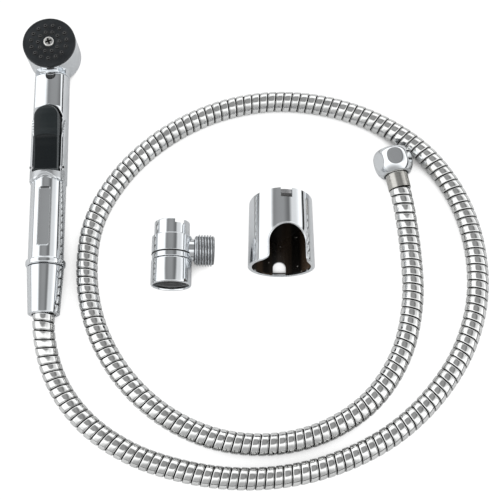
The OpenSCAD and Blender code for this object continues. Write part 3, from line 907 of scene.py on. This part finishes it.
def makeFace():
    d = drum
    r, top = d["radius"] - 0.08, d["faceTop"]
    profile = [(0, d["seat"] + 0.1), (r, d["seat"] + 0.1), (r, top - 0.9)]
    profile += arc(r - 0.9, top - 0.9, 0.9, 0, 90, 8)
    profile += [(16.2, top), (15.9, top - 0.06), (15.6, top - 0.02), (14.2, top)]
    profile += [(5.3, top), (4.9, top - 0.12), (4.2, top - 0.15), (0, top - 0.15)]
    piece = turned("sprayFace", head, profile, faceBlack, 192, smoothAngle=30)
    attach(piece, "handset")
    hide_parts("spray_face", "nozzle_mat")
    studs = []
    for count, ringR in nozzles["rings"]:
        for i in range(count):
            a = math.radians(90 + (i + 0.5) * 360 / count)
            # local X and Z of the turned shape lie in the face
            at = head @ Matrix.Translation((ringR * math.cos(a), top, -ringR * math.sin(a)))
            studs.append(turned("stud", at, nozzles["profile"], nozzleBlack, 24, smoothAngle=50))
    studs = joinPieces("sprayNozzles", studs)
    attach(studs, "handset")


screw = {"radius": 3.7, "shank": 1.9, "slotHalf": 0.62, "slotLong": 2.25, "turn": 20}


def makeScrewHead():
    d = screw
    top, r, shank = drum["faceTop"], d["radius"], d["shank"]
    profile = [(0, 1.0), (shank, 1.0), (shank, top + 0.02), (r, top + 0.02), (r + 0.02, top + 0.4)]
    profile += arc(2.6, top + 0.35, 1.1, 0, 80, 8) + [(1.4, top + 1.52), (0, top + 1.58)]
    piece = turned("faceScrew", head, profile, screwSteel, 96, smoothAngle=35)
    wide, long = d["slotHalf"], d["slotLong"]
    outline = [(-long, -wide), (long, -wide), (long, wide), (-long, wide)]
    for turn in (d["turn"], d["turn"] + 90):
        at = headUp @ Matrix.Rotation(math.radians(turn), 4, "Z")
        cut(piece, prism("crossCutter", at, outline, top + 0.35, top + 4), 35)

    def shade(p):
        # painted shade: the bottom of the cross is painted black
        return 1.0 if math.hypot(p.x, p.y) < 2.4 and top + 0.3 < p.z < top + 0.6 else 0.0

    paintShade(piece, headUp, shade)
    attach(piece, "handset")
    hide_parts("face_screw")


pinEnds = {"at": (11.2, 98.2, 8.2), "radius": 0.75}


def makePinEnds():
    x, y, z = pinEnds["at"]
    r = pinEnds["radius"]
    caps = []
    for side in (-1, 1):
        out = handset.to_3x3() @ Vector((side, 0, 0.25))
        at = placeOn(handset @ Vector((side * x, y, z)), out, (0, 1, 0))
        caps.append(turned("cap", at, [(0, -0.6), (r, -0.6), (r, 0.1), (0, 0.14)], rubber, 32))
    caps = joinPieces("pinEnds", caps)
    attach(caps, "handset")


inletSeal = {"bore": 9.3, "radius": 11.25, "from": 31.15, "to": 31.85}


def makeInletSeal():
    # a dark ring in the joint between the grip ring and the cone nut
    d = inletSeal
    profile = [(d["bore"], d["from"]), (d["radius"], d["from"]), (d["radius"], d["to"]), (d["bore"], d["to"])]
    piece = turned("inletSeal", handset, profile, rubber, 96, closed=True)
    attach(piece, "handset")


spring = {"turns": 4.5, "coil": 2.65, "wire": 0.3, "at": 124, "low": 3.1, "rise": 3.4, "squashed": 0.24}


def makeSpring():
    # the valve spring is pressed flat by the stem
    d = spring
    count = round(20 * d["turns"])
    points = []
    for i in range(count + 1):
        a = 2 * math.pi * d["turns"] * i / count
        points.append((d["coil"] * math.cos(a), d["coil"] * math.sin(a), d["low"] + d["rise"] * i / count))
    place = handset @ Matrix.Translation((0, d["at"], 0))
    piece = bead("valveSpring", place, points, d["wire"], steel, sides=8)
    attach(piece, "handset")
    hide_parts("valve_spring")
    foot = place @ Vector((0, 0, d["low"] - d["wire"]))
    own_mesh(piece)


makeCasing()
makeSpring()
makePinEnds()
makeInletSeal()
makeLever()
makeHead()
makeFace()
makeScrewHead()
print("handset made")


thread = {"crest": 10.48, "root": 9.2, "pitch": 1.814, "start": 15.4, "end": 27.4, "bore": 6.8}


def makeOutlet():
    d = thread

    def ridgeAt(y, a):
        phase = ((y - d["start"]) / d["pitch"] - a / (2 * math.pi)) % 1
        ridge = soft(0.12, 0.46, phase) * soft(0.88, 0.54, phase)
        return ridge * soft(d["start"] + 0.3, d["start"] + 1.3, y) * soft(d["end"], d["end"] - 1.2, y)

    def shape(r, y, a):
        if r >= 0:
            return r, y
        return d["root"] + (d["crest"] - d["root"]) * ridgeAt(y, a), y

    profile = [(4.5, 11.0), (6.55, 11.0), (6.6, 13.4), (6.7, 14.4), (8.2, 14.9), (9.0, 15.05)]
    profile += [(-1, y) for y in steps(d["start"], d["end"], 0.13)]
    profile += [(8.9, d["end"] + 0.2), (7.3, d["end"] + 0.2), (d["bore"], d["end"] - 0.2), (d["bore"], 18.4),
                (4.5, 18.2)]
    piece = turned("outletNipple", outlet, profile, shadedChrome, 128, closed=True, shape=shape,
                   smoothAngle=50)

    def shade(p):
        # painted shade: the bore is painted dark, and so are the roots of the thread
        r = math.hypot(p.x, p.z)
        if r < d["bore"] + 0.02 and p.y < d["end"] - 1:
            return 0.6
        return 0.75 * soft(9.75, 9.3, r) if p.y > d["start"] + 0.2 and r > 8.95 else 0.0

    paintShade(piece, outlet, shade)
    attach(piece, "adapter")
    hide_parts("outlet_nipple")


collar = {"radius": 13.2, "length": 16.8, "bore": 11.46, "depth": 0.5, "pitch": 1.0, "from": 2.5, "to": 9.2}


def makeCollar():
    # the swivel collar: a smooth mouth, then a female thread
    d = collar

    def shape(r, y, a):
        if r >= 0:
            return r, y
        phase = ((y - d["from"]) / d["pitch"] - a / (2 * math.pi)) % 1
        groove = soft(0.0, 0.4, phase) * soft(1.0, 0.6, phase)
        return d["bore"] + d["depth"] * groove * soft(d["to"], d["to"] - 0.8, y), y

    r, end = d["radius"], d["length"]
    profile = [(12.1, 0.0)] + arc(r - 0.9, 0.9, 0.9, -90, 0) + arc(r - 0.9, end - 0.9, 0.9, 0, 90)
    profile += [(9.6, end), (9.6, 13.4), (11, 13.4), (11, d["to"])]
    profile += [(-1, y) for y in steps(d["to"] - 0.05, d["from"], 0.1)]
    profile += [(11.8, d["from"] - 0.2), (11.85, 0.25)]
    piece = turned("swivelCollar", adapter, profile, shadedChrome, 128, closed=True, shape=shape,
                   smoothAngle=50)

    def shade(p):
        # painted shade: the threaded inside is painted dark
        return 0.78 if math.hypot(p.x, p.z) < 11.99 and p.y > d["from"] - 0.1 else 0.0

    paintShade(piece, adapter, shade)
    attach(piece, "collar")
    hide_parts("adapter_collar")


adapterSeal = {"radius": 12.55, "at": 21.0, "wire": 0.56}


def makeAdapterSeal():
    # a dark seal in the groove between the tee and its ring
    d = adapterSeal
    profile = arc(d["radius"], d["at"], d["wire"], 0, 345, 23)
    piece = turned("adapterSeal", adapter, profile, rubber, 96, closed=True)
    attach(piece, "adapter")


makeOutlet()
makeCollar()
makeAdapterSeal()


cup = {"open": 21.5, "wall": 20.6, "length": 43.2, "roll": 12.4, "shell": 1.3,
       "slotWide": 24.7, "slotDeep": 23.3, "flare": 3.0}


def cupPlace():
    low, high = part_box("cup_shell")
    tilt = math.atan((cup["open"] - cup["wall"]) / cup["length"])
    origin = Vector(((low.x + high.x) / 2, low.y + cup["open"] * math.sin(tilt) * mm,
                     cup["open"] * math.cos(tilt) * mm))
    return Matrix.Translation(origin) @ Matrix.Rotation(-tilt, 4, "X") \
        @ Matrix.Rotation(math.radians(cup["roll"]), 4, "Y") @ Matrix.Scale(mm, 4)


def makeCupLip():
    # one rounded bead along the open edge: up round the slot's arch, then round the mouth
    d = cup
    wall = d["open"] - d["shell"] / 2
    arch, flare = d["slotWide"] / 2, d["flare"]
    slot = []
    for i in range(49):
        a = math.pi * i / 48
        slot.append((-arch * math.cos(a), d["slotDeep"] - arch + arch * math.sin(a)))
    for i in range(1, 9):
        a = math.radians(90 * i / 8)
        slot.append((arch + flare * (1 - math.cos(a)), flare * (1 - math.sin(a))))
    turnBack = [(-x, y) for x, y in slot[-1:48:-1]]

    def onWall(x, y):
        r = wall - (d["open"] - d["wall"]) * y / d["length"]
        return x, y + 0.3, math.sqrt(r * r - x * x)

    start = math.asin((arch + flare) / wall)
    mouth = [blend(start, 2 * math.pi - start, i / 140) for i in range(1, 140)]
    solid = [onWall(x, y) for x, y in slot]
    solid += [(wall * math.sin(a), 0.3, wall * math.cos(a)) for a in mouth]
    solid += [onWall(x, y) for x, y in turnBack]
    piece = bead("cupLip", cupPlace(), solid, d["shell"] / 2 + 0.06, chrome, closed=True, sides=14)
    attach(piece, "cup")


makeCupLip()
print("adapter and cup made")


finishes = {
    "grip_ring": chrome, "cone_nut": chrome, "adapter_body": chrome, "aerator_housing": chrome,
    "adapter_ring": chrome, "cup_shell": chrome,
    "lever_pin": steel, "valve_stem": steel, "collar_circlip": steel,
    "near_ferrule": satin, "far_ferrule": satin, "wall_plate": steel,
    "head_gasket": rubber, "stem_seal": rubber, "valve_washer": rubber, "inlet_washer": rubber,
    "nut_washer": rubber, "collar_washer": rubber, "cup_liner": liner,
    "distributor": pale, "valve_block": faceBlack, "upper_tube": pale, "lower_tube": pale,
    "aerator_mesh": pale, "inlet_nipple": brass}
for name, material in finishes.items():
    part = nodes[name]
    if not part.data.materials:
        part.data.materials.append(material)
    for slotIndex in range(len(part.material_slots)):
        part.material_slots[slotIndex].material = material


studio = {"floor": 4.0, "white": 1.04, "seen": 0.82, "sky": 1.3,
          "patchTilt": 20, "patchFrom": 38, "patchTo": 24, "patch": 0.215, "core": 1.2,
          "horizon": 0.02, "horizonLean": -3, "front": 0.35, "beside": 0.62}


def addFloor():
    bm = bmesh.new()
    half = studio["floor"] / 2
    corners = ((-half, -half), (half, -half), (half, half), (-half, half))
    bm.faces.new([bm.verts.new((x, y, 0)) for x, y in corners])
    mesh = bpy.data.meshes.new("floor")
    bm.to_mesh(mesh)
    bm.free()
    floor = bpy.data.objects.new("floor", mesh)
    scene.collection.objects.link(floor)
    # the camera sees a white table that glows evenly, with painted shade only where it is enclosed; the chrome
    # sees a light grey one
    f = Finish("paleFloor", Roughness=0.9, Specular_IOR_Level=0.1, Emission_Strength=studio["white"])
    direct = f.node("LightPath")
    seen = studio["seen"]
    card = f.mix(f.noise(3, 2), (seen, seen, seen, 1), (seen * 0.98, seen * 0.98, seen * 0.98, 1))
    openness = f.node("AmbientOcclusion", {"samples": 24}, output=1, Distance=0.08)
    glow = f.ramp(openness, 0.12, 0.42, 0.3, 1.0) * direct
    f.feed(Base_Color=f.mix(direct, card, (0.02, 0.02, 0.02, 1)),
           Emission_Color=f.mix(glow, (0, 0, 0, 1), (1, 1, 1, 1)))
    mesh.materials.append(f.material)


def addSky():
    # a white tent with a grey opening overhead, a dark band low down and a dimmer side towards the front
    world = bpy.data.worlds.new("tent")
    scene.world = world
    world.use_nodes = True
    tree = world.node_tree
    back = tree.nodes["Background"]
    coords = tree.nodes.new("ShaderNodeTexCoord")

    def facing(direction, wide, narrow, outside, inside):
        dot = tree.nodes.new("ShaderNodeVectorMath")
        dot.operation = "DOT_PRODUCT"
        dot.inputs[1].default_value = Vector(direction).normalized()
        tree.links.new(coords.outputs["Generated"], dot.inputs[0])
        ramp = tree.nodes.new("ShaderNodeMapRange")
        ramp.interpolation_type = "SMOOTHSTEP"
        values = (math.cos(math.radians(wide)), math.cos(math.radians(narrow)), outside, inside)
        for i, value in enumerate(values):
            ramp.inputs[i + 1].default_value = value
        tree.links.new(dot.outputs["Value"], ramp.inputs[0])
        return Value(tree, ramp.outputs[0])

    d = studio
    tilt = math.radians(d["patchTilt"])
    up = (0, math.sin(tilt), math.cos(tilt))
    gap = facing(up, d["patchFrom"], d["patchTo"], 1.0, d["patch"])
    core = facing(up, 24, 4, 1.0, d["core"])
    beside = facing((0.6, 0.3, 0.74), 32, 8, 1.0, d["beside"])
    lean = math.radians(d["horizonLean"])
    low = facing((math.sin(lean), 0, math.cos(lean)), 88, 80, d["horizon"], 1.0)
    front = facing((0, -1, 0.2), 62, 25, 1.0, d["front"])
    # seen directly, the tent is plain white
    direct = Value(tree, tree.nodes.new("ShaderNodeLightPath").outputs["Is Camera Ray"])
    strength = gap * core * beside * low * front * d["sky"] * (1 - direct) + direct * d["white"]
    tree.links.new(strength.socket, back.inputs["Strength"])
    back.inputs["Color"].default_value = (0.985, 0.995, 1, 1)


addFloor()
addSky()
scene.view_settings.view_transform = "Standard"
print("studio lit")
